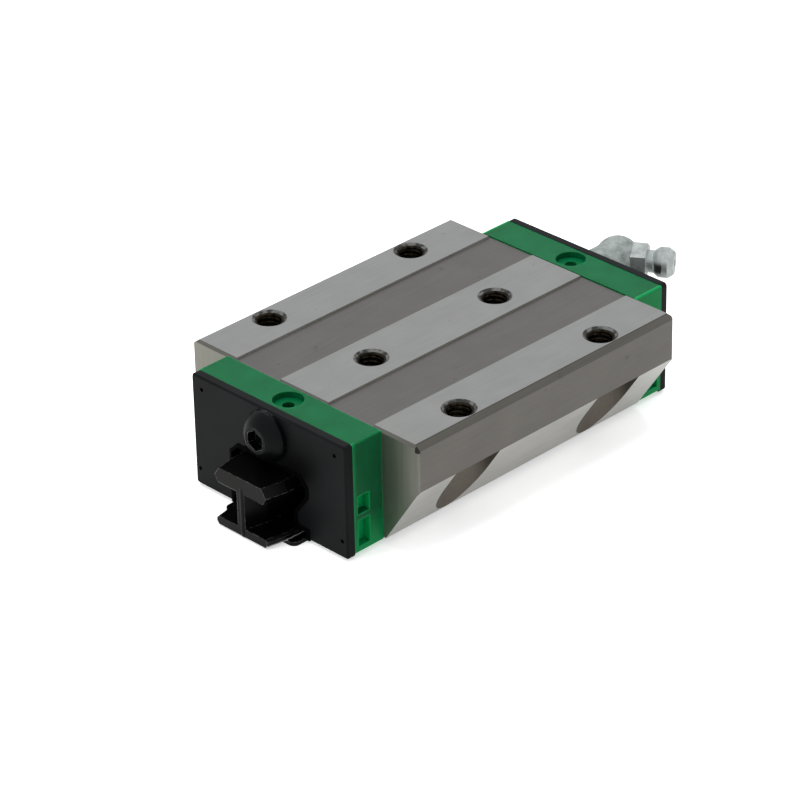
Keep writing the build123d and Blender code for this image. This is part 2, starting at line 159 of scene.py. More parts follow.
camera_data = bpy.data.cameras.new("photo_lens")
camera_data.sensor_width = sensor_width
camera_data.lens = focal_pixels * sensor_width / picture_pixels
camera_data.clip_end = 20.0
camera = bpy.data.objects.new("photo_camera", camera_data)
scene.collection.objects.link(camera)
turn = Matrix((right, -down, -forward)).transposed()
camera.matrix_world = Matrix.Translation(camera_place) @ turn.to_4x4()
scene.camera = camera
print("lens", round(camera_data.lens, 1), "mm")

# %% [markdown]
# The photograph is a plain catalogue shot: a white sweep, big soft lights above and no hard shadow. Steel
# shows what it mirrors, so the light matters as much as the steel. A pale world stands for the white
# studio, one large soft box hangs above, and a weaker one stands at the left to grade the end faces. The
# floor is plain and pale. The photograph's background was whitened after the shot, but the part still
# mirrors the grey table it really stood on. So the floor looks white, and bounces only as much light as a
# pale grey table. The lamps light plastic and paint but are kept out of the mirror reflections: through a
# real diffuser they would be as wide as the sky, and as small discs they would leave hard spots on the
# metal.

# %% Studio
scene.view_settings.view_transform = "Standard"
world = bpy.data.worlds.new("white_studio")
world.use_nodes = True
scene.world = world
sky = world.node_tree.nodes["Background"]
sky.inputs["Color"].default_value = linear("#F6F7F8")
sky.inputs["Strength"].default_value = 0.74

lights = {
    "soft_box_above": ((0.10, 0.20, 0.95), 0.9, 9.5),
    "soft_box_left": ((-0.85, 0.35, 0.35), 0.5, 2.5),
}
for name, (place, size, power) in lights.items():
    lamp_data = bpy.data.lights.new(name, "AREA")
    lamp_data.shape = "DISK"
    lamp_data.size = size
    lamp_data.energy = power
    lamp = bpy.data.objects.new(name, lamp_data)
    lamp.location = place
    lamp.rotation_euler = (-Vector(place)).to_track_quat("-Z", "Y").to_euler()
    lamp.visible_glossy = False
    scene.collection.objects.link(lamp)

table_grey, sweep_white = "#B0B0AE", "#F4F4F4"
paper, tree, shader = new_material("Matt paper sweep", table_grey, 0.9)
seen = add(tree, "LightPath").outputs["Is Camera Ray"]
whitened = add(tree, "Mix", {6: linear(table_grey), 7: linear(sweep_white)}, {0: seen}, data_type="RGBA")
tree.links.new(whitened.outputs[2], shader.inputs["Base Color"])
shader.inputs["Emission Color"].default_value = linear("#FFFFFF")
lift = add(tree, "MapRange", {"To Min": 0.28, "To Max": 0.5}, {0: seen})
tree.links.new(lift.outputs[0], shader.inputs["Emission Strength"])
half_floor = 3.0
floor_z = cad_box[0][2]
corners = [(-half_floor, -half_floor, floor_z), (half_floor, -half_floor, floor_z),
           (half_floor, half_floor, floor_z), (-half_floor, half_floor, floor_z)]
floor = new_piece("studio_floor", corners, [(0, 1, 2, 3)], paper)
print("floor at", round(floor_z / MM, 2), "mm")

# %% [markdown]
# The body is hardened bearing steel. Its three lands on top are ground: a light, even face with very fine
# streaks along the carriage, the way the grinding wheel went over it. The two grooves between them are only
# milled and stay darker. The flange sides are ground but dark, and the pockets are brown with oil. The
# slanted underside is painted bright, a painted reflection of the pale table under it. The walls of the
# relief steps are painted pale, painted light where they would fall in shade; the rounded corners between
# end faces and flange sides are painted one even tone, a painted soft highlight; and the top of the near
# right corner, next to the cap, is painted dark, painted shade. One material can hold all of that, because
# each finish lies on faces that point one way and lie in one range of places. So a table of finishes is
# painted over a base colour, each inside its own mask: a finish lists, for each place in millimetres and
# each direction that it depends on, the middle and the reach either side. The letters x, y and nx are read
# without their sign, so that both ends and both sides match. Separate materials on separate faces would
# also work, but they would need changes to the CAD mesh.

# %% Ground and milled bearing steel
steel, tree, shader = new_material("Ground and milled bearing steel", "#6A6762", 0.42, metallic=1.0)
coords = add(tree, "TexCoord")
place = add(tree, "SeparateXYZ", feeds={0: coords.outputs["Object"]})
facing = add(tree, "SeparateXYZ", feeds={0: coords.outputs["Normal"]})
sources = {"along": place.outputs["X"], "across": place.outputs["Y"],
           "z": place.outputs["Z"], "nz": facing.outputs["Z"]}
for name, socket in (("x", place.outputs["X"]), ("y", place.outputs["Y"]), ("nx", facing.outputs["X"])):
    sources[name] = add(tree, "Math", feeds={0: socket}, operation="ABSOLUTE").outputs[0]

flange_half, steel_half, groove_depth = 31.5, 36.15, 0.45
finishes = [
    ("end faces", "#9A9A91", 0.45, {"nx": (1.0, 0.15)}),
    # painted light: the relief walls are paler than steel, so the steps show no shaded line
    ("relief walls", "#C2C1BB", 0.45, {"z": (-groove_depth / 2, 0.215), "y": (13, 7)}),
    # painted reflection: the slanted underside is paler than its steel, for the pale table it faces
    ("slanted underside", "#D6D5D1", 0.42, {"nz": (-0.556, 0.25), "y": (27, 5)}),
    ("pocket walls", "#7C766D", 0.50, {"nz": (0.0, 0.2), "x": (20, 6.9), "z": (-17, 7.1), "y": (26.8, 4.65)}),
    ("flange sides", "#76736F", 0.38, {"y": (flange_half, 0.05)}),
    ("long bevels", "#726F69", 0.40, {"y": (flange_half - 0.6, 0.58), "nz": (0.76, 0.15)}),
    ("milled grooves", "#878482", 0.45, {"z": (-groove_depth, 0.03), "nz": (1.0, 0.2)}),
    ("ground lands", "#B2B3B1", 0.36, {"z": (0.0, 0.03), "nz": (1.0, 0.2)}),
    ("countersinks", "#8E8E8C", 0.36,
     {"z": (-0.34, 0.32), "nz": (0.83, 0.13), "y": (15, 15.15), "x": (18.6, 5.5)}),
    # painted highlight: the rounded corners get one even tone in place of their own shading
    ("rounded corners", "#83817B", 0.42, {"x": (steel_half - 0.2, 0.25), "y": (flange_half - 0.2, 0.25)}),
    ("end bevels", "#7E7C76", 0.45, {"x": (steel_half - 0.25, 0.5), "nx": (0.7, 0.2), "nz": (0.7, 0.2)}),
    # painted shade: the top of the near right corner, beside the cap
    ("dark corner", "#3E3C38", 0.5,
     {"along": (0.05 - steel_half, 0.5), "across": (0.4 - flange_half, 0.5), "z": (-0.75, 0.7)}),
]
bare_colour, bare_roughness = linear("#5A5751"), 0.5
colour_now, rough_now, masks = None, None, {}
for label, hex_colour, roughness, tests in finishes:
    mask = None
    for source, (centre, reach) in tests.items():
        unit = 1.0 if source in ("nx", "nz") else MM
        band = {1: centre * unit, 2: reach * unit}
        inside = add(tree, "Math", band, {0: sources[source]}, operation="COMPARE").outputs[0]
        if mask is not None:
            inside = add(tree, "Math", feeds={0: mask, 1: inside}, operation="MULTIPLY").outputs[0]
        mask = inside
    colours = {6: bare_colour, 7: linear(hex_colour)}
    colour_mix = add(tree, "Mix", colours, {0: mask}, data_type="RGBA", label=label)
    rough_mix = add(tree, "Mix", {2: bare_roughness, 3: roughness}, {0: mask}, label=label)
    if colour_now:
        tree.links.new(colour_now, colour_mix.inputs[6])
        tree.links.new(rough_now, rough_mix.inputs[2])
    colour_now, rough_now, masks[label] = colour_mix.outputs[2], rough_mix.outputs[0], mask
print(len(finishes), "finishes on one steel")

# %% [markdown]
# A ground face is never one flat grey. The wheel leaves lines a few hundredths of a millimetre apart, which
# is far too fine to show, so they are drawn 0.35 mm apart, as coarse as the render needs. They come from
# noise stretched forty times along the carriage; on the end faces the stretch goes up and down. A second,
# slow noise makes the cloudy patches where oil dried, and a few sharp specks are handling marks. The
# countersinks get darker bands, 1.3 mm wide, at random places: painted shade that darkens the countersinks.

# %% Grinding lines, clouds and specks
line_spacing, cloud_size, speck_spacing, shade_band_width = 0.35 * MM, 9 * MM, 2.6 * MM, 1.3 * MM
stretched_along, stretched_up = (0.025, 1, 1), (1, 1, 0.03)
along_x = add(tree, "VectorMath", {1: stretched_along}, {0: coords.outputs["Object"]}, operation="MULTIPLY")
along_z = add(tree, "VectorMath", {1: stretched_up}, {0: coords.outputs["Object"]}, operation="MULTIPLY")
end_facing, end_reach = 1.0, 0.2
is_end = add(tree, "Math", {1: end_facing, 2: end_reach}, {0: sources["nx"]}, operation="COMPARE")
either_way = {0: is_end.outputs[0], 4: along_x.outputs[0], 5: along_z.outputs[0]}
line_coords = add(tree, "Mix", feeds=either_way, data_type="VECTOR")
on_surface = {"Vector": coords.outputs["Object"]}
lines = add(tree, "TexNoise", {"Scale": 1 / line_spacing, "Detail": 3.0}, {"Vector": line_coords.outputs[1]})
clouds = add(tree, "TexNoise", {"Scale": 1 / cloud_size, "Detail": 4.0}, on_surface)
specks = add(tree, "TexNoise", {"Scale": 1 / speck_spacing, "Detail": 5.0}, on_surface)
shade_band_noise = add(tree, "TexNoise", {"Scale": 1 / shade_band_width, "Detail": 1.0}, on_surface)
shade_band_mask = add(tree, "MapRange", {"From Min": 0.42, "From Max": 0.58}, {0: shade_band_noise.outputs[0]})
countersink_shade_place = {0: masks["countersinks"], 1: shade_band_mask.outputs[0]}
countersink_shade = add(tree, "Math", feeds=countersink_shade_place, operation="MULTIPLY")
# painted shade: random dark bands over the countersinks
banded = add(tree, "Mix", {7: linear("#4E4E4C")}, {0: countersink_shade.outputs[0], 6: colour_now}, data_type="RGBA")
painted = banded.outputs[2]
for pattern, low, high, darkest, palest in (
        (lines, 0.3, 0.7, 0.93, 1.05), (clouds, 0.3, 0.7, 0.95, 1.04), (specks, 0.69, 0.74, 1.0, 0.8)):
    limits = {"From Min": low, "From Max": high, "To Min": darkest, "To Max": palest}
    tone = add(tree, "MapRange", limits, {0: pattern.outputs[0]})
    toned = add(tree, "VectorMath", feeds={0: painted, "Scale": tone.outputs[0]}, operation="SCALE")
    painted = toned.outputs[0]
tree.links.new(painted, shader.inputs["Base Color"])
rough_lines = add(tree, "MapRange", {"To Min": -0.05, "To Max": 0.05}, {0: lines.outputs[0]})
rough_all = add(tree, "Math", feeds={0: rough_now, 1: rough_lines.outputs[0]}, operation="ADD")
tree.links.new(rough_all.outputs[0], shader.inputs["Roughness"])
relief = add(tree, "Bump", {"Strength": 0.12, "Distance": 0.02 * MM}, {"Height": lines.outputs[0]})
tree.links.new(relief.outputs[0], shader.inputs["Normal"])
dress(steel, "carriage_block")

# %% [markdown]
# No real edge is perfectly sharp. The grinder's and the mould's small radii catch the light as thin lines,
# and without them a render looks like a drawing. Two modifiers do it without touching the CAD mesh: one
# joins the flat triangles of each face again, and one rolls a tiny bevel along every edge that turns by
# more than 35 degrees. Steel gets 0.08 mm, moulded plastic a little more.

# %% Small edge radii
flat_within, sharp_beyond = radians(0.6), radians(35)


def soften(width, *names):
    """Rolls a small bevel along the sharp edges of CAD nodes."""
    for name in names:
        flat = nodes[name].modifiers.new("join_flat_faces", "DECIMATE")
        flat.decimate_type = "DISSOLVE"
        flat.angle_limit = flat_within
        bevel = nodes[name].modifiers.new("edge_radius", "BEVEL")
        bevel.width = width
        bevel.segments = 2
        bevel.limit_method = "ANGLE"
        bevel.angle_limit = sharp_beyond
        bevel.harden_normals = True
    print("edges of", width / MM, "mm on", ", ".join(names))


soften(0.08 * MM, "carriage_block")
soften(0.25 * MM, "transport_rail")
soften(0.12 * MM, "end_cap_front", "end_cap_rear", "end_seal_front", "end_seal_rear",
       "wiper_lip_front", "wiper_lip_rear")

# %% [markdown]
# The six mounting holes are tapped M6. A thread is a groove that climbs one pitch in each turn, so its
# surface is a tube whose radius rises and falls along the axis, with a phase that moves on as it goes
# round. The CAD hole is left plain, as in any library part, and a thin threaded sleeve lines it here, from
# halfway down the countersink, where the first ridge starts. Bump could fake the rings, but real ridges
# also shade each other, which is what the dark stripes in the photograph are.

# %% Tapped threads
thread_name = "Tapped steel thread, black with cutting oil"
oily_thread, tree, shader = new_material(thread_name, "#3A352F", 0.42, metallic=1.0)
grime_size = 0.8 * MM
coords = add(tree, "TexCoord")
grime = add(tree, "TexNoise", {"Scale": 1 / grime_size, "Detail": 4.0}, {"Vector": coords.outputs["Object"]})
oil = add(tree, "ValToRGB", feeds={0: grime.outputs[0]})
oil.color_ramp.elements[0].position, oil.color_ramp.elements[0].color = 0.35, linear("#120F0C")
oil.color_ramp.elements[1].position, oil.color_ramp.elements[1].color = 0.7, linear("#40392F")
tree.links.new(oil.outputs[0], shader.inputs["Base Color"])

thread_pitch, wall, crest, flank_share, flat_share = 1.0, 2.54, 2.33, 0.36, 0.8
mouth_radius, mouth_depth, mouth_slope = 2.94, 0.43, 1.6
flange_hole_x, flange_hole_y, flange_thread_bottom = 20, 26.5, -9.95
centre_hole_x, centre_thread_bottom = 17.5, -7.95
around, per_pitch = 40, 8


def threaded_sleeve(name, x, y, top, bottom):
    """A sleeve whose inner face is a right-hand thread."""
    rows_down = int((top - bottom) / thread_pitch * per_pitch)
    points, faces = [], []
    for row in range(rows_down + 1):
        z = top - row * thread_pitch / per_pitch
        for step in range(around):
            phase = (z / thread_pitch - step / around) % 1.0
            ridge = max(0.0, 1 - abs(phase - 0.5) / flank_share)
            ridge = min(ridge, flat_share) / flat_share
            r = wall - (wall - crest) * ridge
            r = max(r, mouth_radius - (top - z) * mouth_slope)
            angle = 2 * pi * step / around
            points.append(((x + r * cos(angle)) * MM, (y + r * sin(angle)) * MM, z * MM))
    for row in range(rows_down):
        for step in range(around):
            a, b = row * around + step, row * around + (step + 1) % around
            faces.append((a, b, b + around, a + around))
    sleeve = new_piece(name, points, faces, oily_thread)
    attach(sleeve, "carriage")


for end, along in (("near", -1), ("far", 1)):
    for hand, across in (("right", -1), ("left", 1)):
        x, y = along * flange_hole_x, across * flange_hole_y
        threaded_sleeve(f"flange_thread_{end}_{hand}", x, y, -mouth_depth, flange_thread_bottom)
for end, along in (("near", -1), ("far", 1)):
    threaded_sleeve(f"centre_thread_{end}", along * centre_hole_x, 0, -mouth_depth, centre_thread_bottom)
print("six threads, pitch", thread_pitch, "mm")

# %% [markdown]
# The end caps are injection-moulded polyamide, dyed green. Moulded nylon has a soft satin skin that spreads
# the light, a faint grain from the mould, and light that enters a little before it comes back, which makes
# thin edges glow. The colour is dark and strong, with a paler bloom where the gloss catches the sky. True
# subsurface light is too weak at this size, so a painted glow, a brighter green, stands in for it: on the
# side edges, the strip along the seal, the lower rim and the walls round the side windows. The rear cap's
# sides get the painted glow as well: the photograph shows them brighter, perhaps by light from the steel
# beside them. The channel's inner faces are painted nearly black, painted shade for the dark inside the
# channel. The mould's grain is really finer than a tenth of a millimetre and would not show, so on every
# moulded piece it is drawn two to four times coarser. Each mask compares the place on the piece, or the
# way a face looks, with a size.

# %% Green moulded polyamide
def moulded_skin(tree, shader, coords, grain_size, detail, strength, depth):
    """The faint grain that a spark-eroded mould leaves on plastic and rubber."""
    on_surface = {"Vector": coords.outputs["Object"]}
    grain = add(tree, "TexNoise", {"Scale": 1 / grain_size, "Detail": detail}, on_surface)
    skin = add(tree, "Bump", {"Strength": strength, "Distance": depth}, {"Height": grain.outputs[0]})
    tree.links.new(skin.outputs[0], shader.inputs["Normal"])


green_gloss = {"IOR": 1.53, "Specular_IOR_Level": 0.13}
green_nylon, tree, shader = new_material("Green moulded polyamide", "#03552F", 0.36, **green_gloss)
shader.inputs["Subsurface Weight"].default_value = 0.5
shader.inputs["Subsurface Radius"].default_value = (0.2 * MM, 1.6 * MM, 0.7 * MM)
shader.inputs["Subsurface Scale"].default_value = 0.8
flow_size = 7 * MM
coords = add(tree, "TexCoord")
flow = add(tree, "TexNoise", {"Scale": 1 / flow_size, "Detail": 3.0}, {"Vector": coords.outputs["Object"]})
dye = add(tree, "ValToRGB", feeds={0: flow.outputs[0]})
dye.color_ramp.elements[0].position, dye.color_ramp.elements[0].color = 0.3, linear("#02522D")
dye.color_ramp.elements[1].position, dye.color_ramp.elements[1].color = 0.7, linear("#035D35")
place = add(tree, "SeparateXYZ", feeds={0: coords.outputs["Object"]})
half_width = add(tree, "Math", feeds={0: place.outputs["Y"]}, operation="ABSOLUTE")
# painted shade: the channel's inner faces are painted nearly black
channel_half, channel_top = 11.3 * MM, -10.95 * MM
inside = add(tree, "Math", {1: channel_half}, {0: half_width.outputs[0]}, operation="LESS_THAN")
below = add(tree, "Math", {1: channel_top}, {0: place.outputs["Z"]}, operation="LESS_THAN")
channel_shade = add(tree, "Math", feeds={0: inside.outputs[0], 1: below.outputs[0]}, operation="MULTIPLY")
dye_and_channel_shade = add(tree, "Mix", {7: linear("#05130C")}, {0: channel_shade.outputs[0], 6: dye.outputs[0]}, data_type="RGBA")
facing = add(tree, "SeparateXYZ", feeds={0: coords.outputs["Normal"]})
window_middle, window_half, window_top, steep = 20.6 * MM, 0.92 * MM, -11 * MM, 0.5
window = {1: window_middle, 2: window_half}
in_window = add(tree, "Math", window, {0: half_width.outputs[0]}, operation="COMPARE")
upright = add(tree, "Math", {1: steep}, {0: facing.outputs["Z"]}, operation="LESS_THAN")
window_wall = add(tree, "Math", feeds={0: in_window.outputs[0], 1: upright.outputs[0]}, operation="MULTIPLY")
low_wall = add(tree, "Math", {1: window_top}, {0: place.outputs["Z"]}, operation="LESS_THAN")
lit_wall = add(tree, "Math", feeds={0: window_wall.outputs[0], 1: low_wall.outputs[0]}, operation="MULTIPLY")
# painted glow: the lower rim is painted brighter towards the bottom
rim_fade = {"From Min": -16 * MM, "From Max": -24.2 * MM, "To Max": 0.7}
rim = add(tree, "MapRange", rim_fade, {0: place.outputs["Z"]})
outward = add(tree, "Math", feeds={0: place.outputs["X"]}, operation="ABSOLUTE")
strip_fade = {"From Min": 42.8 * MM, "From Max": 43.8 * MM, "To Max": 0.5}
front_strip = add(tree, "MapRange", strip_fade, {0: outward.outputs[0]})
side_from, rear_from, rear_strength = 20.9 * MM, 36 * MM, 0.6
on_side = add(tree, "Math", {1: side_from}, {0: half_width.outputs[0]}, operation="GREATER_THAN")
edges = near_an_edge(tree, radius=0.4 * MM)
edge_glow = add(tree, "Math", feeds={0: edges, 1: on_side.outputs[0]}, operation="MULTIPLY")
side_strip = add(tree, "Math", feeds={0: front_strip.outputs[0], 1: on_side.outputs[0]}, operation="MULTIPLY")
rear = add(tree, "Math", {1: rear_from}, {0: place.outputs["X"]}, operation="GREATER_THAN")
rear_side = add(tree, "Math", {1: rear_strength}, {0: on_side.outputs[0]}, operation="MULTIPLY")
rear_glow = add(tree, "Math", feeds={0: rear_side.outputs[0], 1: rear.outputs[0]}, operation="MULTIPLY")
rim_or_rear = add(tree, "Math", feeds={0: rim.outputs[0], 1: rear_glow.outputs[0]}, operation="MAXIMUM")
rim_window_rear_glow = add(tree, "Math", feeds={0: lit_wall.outputs[0], 1: rim_or_rear.outputs[0]}, operation="MAXIMUM")
strip_and_edge_glow = add(tree, "Math", feeds={0: side_strip.outputs[0], 1: edge_glow.outputs[0]}, operation="MAXIMUM")
glow = add(tree, "Math", feeds={0: rim_window_rear_glow.outputs[0], 1: strip_and_edge_glow.outputs[0]}, operation="MAXIMUM")
# painted glow: a brighter green mixed in wherever the glow masks reach
lit = add(tree, "Mix", {7: linear("#0A9A55")}, {0: glow.outputs[0], 6: dye_and_channel_shade.outputs[2]}, data_type="RGBA")
tree.links.new(lit.outputs[2], shader.inputs["Base Color"])
moulded_skin(tree, shader, coords, grain_size=0.25 * MM, detail=2.0, strength=0.1, depth=0.03 * MM)
dress(green_nylon, "end_cap_front", "end_cap_rear")

# %% [markdown]
# The end seals are a plate with a rubber face, and their lips are the same nitrile rubber. Rubber is nearly
# black and dull. A fine, even spark grain from the mould keeps its highlights wide and weak. A round patch
# beside the transport rail is painted darker, painted shade: it fades with the distance from one point.

# %% Nitrile rubber
seal_name = "Moulded nitrile rubber on a steel plate"
seal_face, tree, shader = new_material(seal_name, "#0D0F11", 0.45, Specular_IOR_Level=0.13)
coords = add(tree, "TexCoord")
moulded_skin(tree, shader, coords, grain_size=0.2 * MM, detail=3.0, strength=0.18, depth=0.03 * MM)
bloom_size = 11 * MM
bloom = add(tree, "TexNoise", {"Scale": 1 / bloom_size, "Detail": 3.0}, {"Vector": coords.outputs["Object"]})
shade = add(tree, "ValToRGB", feeds={0: bloom.outputs[0]})
shade.color_ramp.elements[0].position, shade.color_ramp.elements[0].color = 0.3, linear("#08090A")
shade.color_ramp.elements[1].position, shade.color_ramp.elements[1].color = 0.75, linear("#101214")
# painted shade: a round patch beside the transport rail, darkest in its middle
seal_shade_middle = (-45.75 * MM, -8.5 * MM, -9.8 * MM)
away = add(tree, "VectorMath", {1: seal_shade_middle}, {0: coords.outputs["Object"]}, operation="DISTANCE")
shade_fade = {"From Min": 2.5 * MM, "From Max": 7.5 * MM, "To Min": 0.9, "To Max": 0.0}
seal_shade = add(tree, "MapRange", shade_fade, {0: away.outputs["Value"]})
seal_shaded = add(tree, "Mix", {7: linear("#010101")}, {0: seal_shade.outputs[0], 6: shade.outputs[0]}, data_type="RGBA")
tree.links.new(seal_shaded.outputs[2], shader.inputs["Base Color"])
dress(seal_face, "end_seal_front", "end_seal_rear")

lip_rubber, tree, shader = new_material("Soft nitrile lip", "#020202", 0.75, Specular_IOR_Level=0.04)
coords = add(tree, "TexCoord")
moulded_skin(tree, shader, coords, grain_size=0.3 * MM, detail=2.0, strength=0.25, depth=0.04 * MM)
dress(lip_rubber, "wiper_lip_front", "wiper_lip_rear", "bottom_seal_left", "bottom_seal_right")

# %% [markdown]
# The transport rail is a cheap black moulding, polypropylene or nylon, thrown away once the carriage is on
# its real rail. It is almost black on top, where it mirrors the dark seal, with a grey sheen on the faces
# that look at the light, and its edges are scuffed pale. The scuffs come from a shader trick: the Bevel
# node gives the normal of a rounded edge, and where that differs from the true normal there is an edge.
# Most edges are scuffed in patches. The nose's left edge gets the same pale grey all along, a painted
# highlight, and the low edges of the base get a brighter painted highlight all along.

# %% Black moulded polypropylene
black_gloss = {"IOR": 1.49, "Specular_IOR_Level": 0.19}
black_moulding, tree, shader = new_material("Black moulded polypropylene", "#030303", 0.28, **black_gloss)
scuff_size = 1.1 * MM
coords = add(tree, "TexCoord")
scuffs = add(tree, "TexNoise", {"Scale": 1 / scuff_size, "Detail": 5.0}, {"Vector": coords.outputs["Object"]})
patchy = add(tree, "MapRange", {"From Min": 0.45, "From Max": 0.62, "To Max": 0.5}, {0: scuffs.outputs[0]})
edge = near_an_edge(tree, radius=0.18 * MM)
place = add(tree, "SeparateXYZ", feeds={0: coords.outputs["Object"]})
# painted highlight: the nose's left edge is pale all along
nose_x, left_y, nose_highlight_middle, nose_highlight_half = -53.0 * MM, 1.0 * MM, -17.4 * MM, 5.2 * MM
nose = add(tree, "Math", {1: nose_x}, {0: place.outputs["X"]}, operation="LESS_THAN")
left = add(tree, "Math", {1: left_y}, {0: place.outputs["Y"]}, operation="GREATER_THAN")
height = add(tree, "Math", {1: nose_highlight_middle, 2: nose_highlight_half}, {0: place.outputs["Z"]}, operation="COMPARE")
left_nose = add(tree, "Math", feeds={0: nose.outputs[0], 1: left.outputs[0]}, operation="MULTIPLY")
nose_left_highlight = add(tree, "Math", feeds={0: left_nose.outputs[0], 1: height.outputs[0]}, operation="MULTIPLY")
where = add(tree, "Math", feeds={0: patchy.outputs[0], 1: nose_left_highlight.outputs[0]}, operation="MAXIMUM")
wear_and_highlight = add(tree, "Math", feeds={0: edge, 1: where.outputs[0]}, operation="MULTIPLY")
black_and_pale_grey = {6: linear("#030303"), 7: linear("#8A8A88")}
scuffs_and_highlight = add(tree, "Mix", black_and_pale_grey, {0: wear_and_highlight.outputs[0]}, data_type="RGBA")
# painted highlight: the low edges of the base, nearly white
base_z, base_z_reach, base_y, base_y_reach = -24.75 * MM, 0.4 * MM, 7.5 * MM, 0.8 * MM
low = add(tree, "Math", {1: base_z, 2: base_z_reach}, {0: place.outputs["Z"]}, operation="COMPARE")
half_width = add(tree, "Math", feeds={0: place.outputs["Y"]}, operation="ABSOLUTE")
beside = add(tree, "Math", {1: base_y, 2: base_y_reach}, {0: half_width.outputs[0]}, operation="COMPARE")
base_highlight_place = add(tree, "Math", feeds={0: low.outputs[0], 1: beside.outputs[0]}, operation="MULTIPLY")
base_edges = near_an_edge(tree, radius=0.3 * MM)
base_highlight = add(tree, "Math", feeds={0: base_edges, 1: base_highlight_place.outputs[0]}, operation="MULTIPLY")
over_scuffs = {0: base_highlight.outputs[0], 6: scuffs_and_highlight.outputs[2]}
paint = add(tree, "Mix", {7: linear("#DADAD6")}, over_scuffs, data_type="RGBA")
tree.links.new(paint.outputs[2], shader.inputs["Base Color"])
moulded_skin(tree, shader, coords, grain_size=0.35 * MM, detail=3.0, strength=0.2, depth=0.04 * MM)
dress(black_moulding, "transport_rail")

# %% [markdown]
# The plug is a hardened button-head screw with a black oxide finish: thin, dark, faintly glossy, worn to
# grey round the socket, where a key has turned in it. The grey on the rim's left side is a painted highlight.

# %% Black-oxide screw
oxide_gloss = {"metallic": 0.4, "Specular_IOR_Level": 0.2}
black_oxide, tree, shader = new_material("Black-oxide screw steel", "#0C0D0F", 0.36, **oxide_gloss)
scuff_size = 0.7 * MM
coords = add(tree, "TexCoord")
scuffs = add(tree, "TexNoise", {"Scale": 1 / scuff_size, "Detail": 5.0}, {"Vector": coords.outputs["Object"]})
patchy = add(tree, "MapRange", {"From Min": 0.42, "From Max": 0.6}, {0: scuffs.outputs[0]})
place = add(tree, "SeparateXYZ", feeds={0: coords.outputs["Object"]})
# painted highlight: the pale wear is kept to the socket and the rim's left side
socket_and_left_side = add(tree, "MapRange", {"From Min": -3.2 * MM, "From Max": -1.6 * MM}, {0: place.outputs["Y"]})
where = add(tree, "Math", feeds={0: patchy.outputs[0], 1: socket_and_left_side.outputs[0]}, operation="MULTIPLY")
edge = near_an_edge(tree, radius=0.16 * MM)
wear_and_highlight = add(tree, "Math", feeds={0: edge, 1: where.outputs[0]}, operation="MULTIPLY")
paint = add(tree, "Mix", {6: linear("#0A0B0D"), 7: linear("#8E9090")}, {0: wear_and_highlight.outputs[0]}, data_type="RGBA")
tree.links.new(paint.outputs[2], shader.inputs["Base Color"])
dress(black_oxide, "lube_plug", "cap_screws_front", "cap_screws_rear")

# %% [markdown]
# The grease nipple and its elbow are steel with zinc plate. Zinc dulls to a bluish white soon after the
# bath, and it lies unevenly, so the colour and the roughness both follow one cloudy noise. The forged elbow
# is rough below its plate and spreads light almost like paint, so its shader is only half metallic. The
# turned nipple is smoother: it mirrors the white studio above it, and the black seal beside it as a dark
# patch. Its zinc is also painted paler than the elbow's, painted light for a head that the lamps leave in
# shade. Behind the ball of its head a dark ring is painted shade, spread either side: a ring along the
# nipple's own axis, faded up and down.

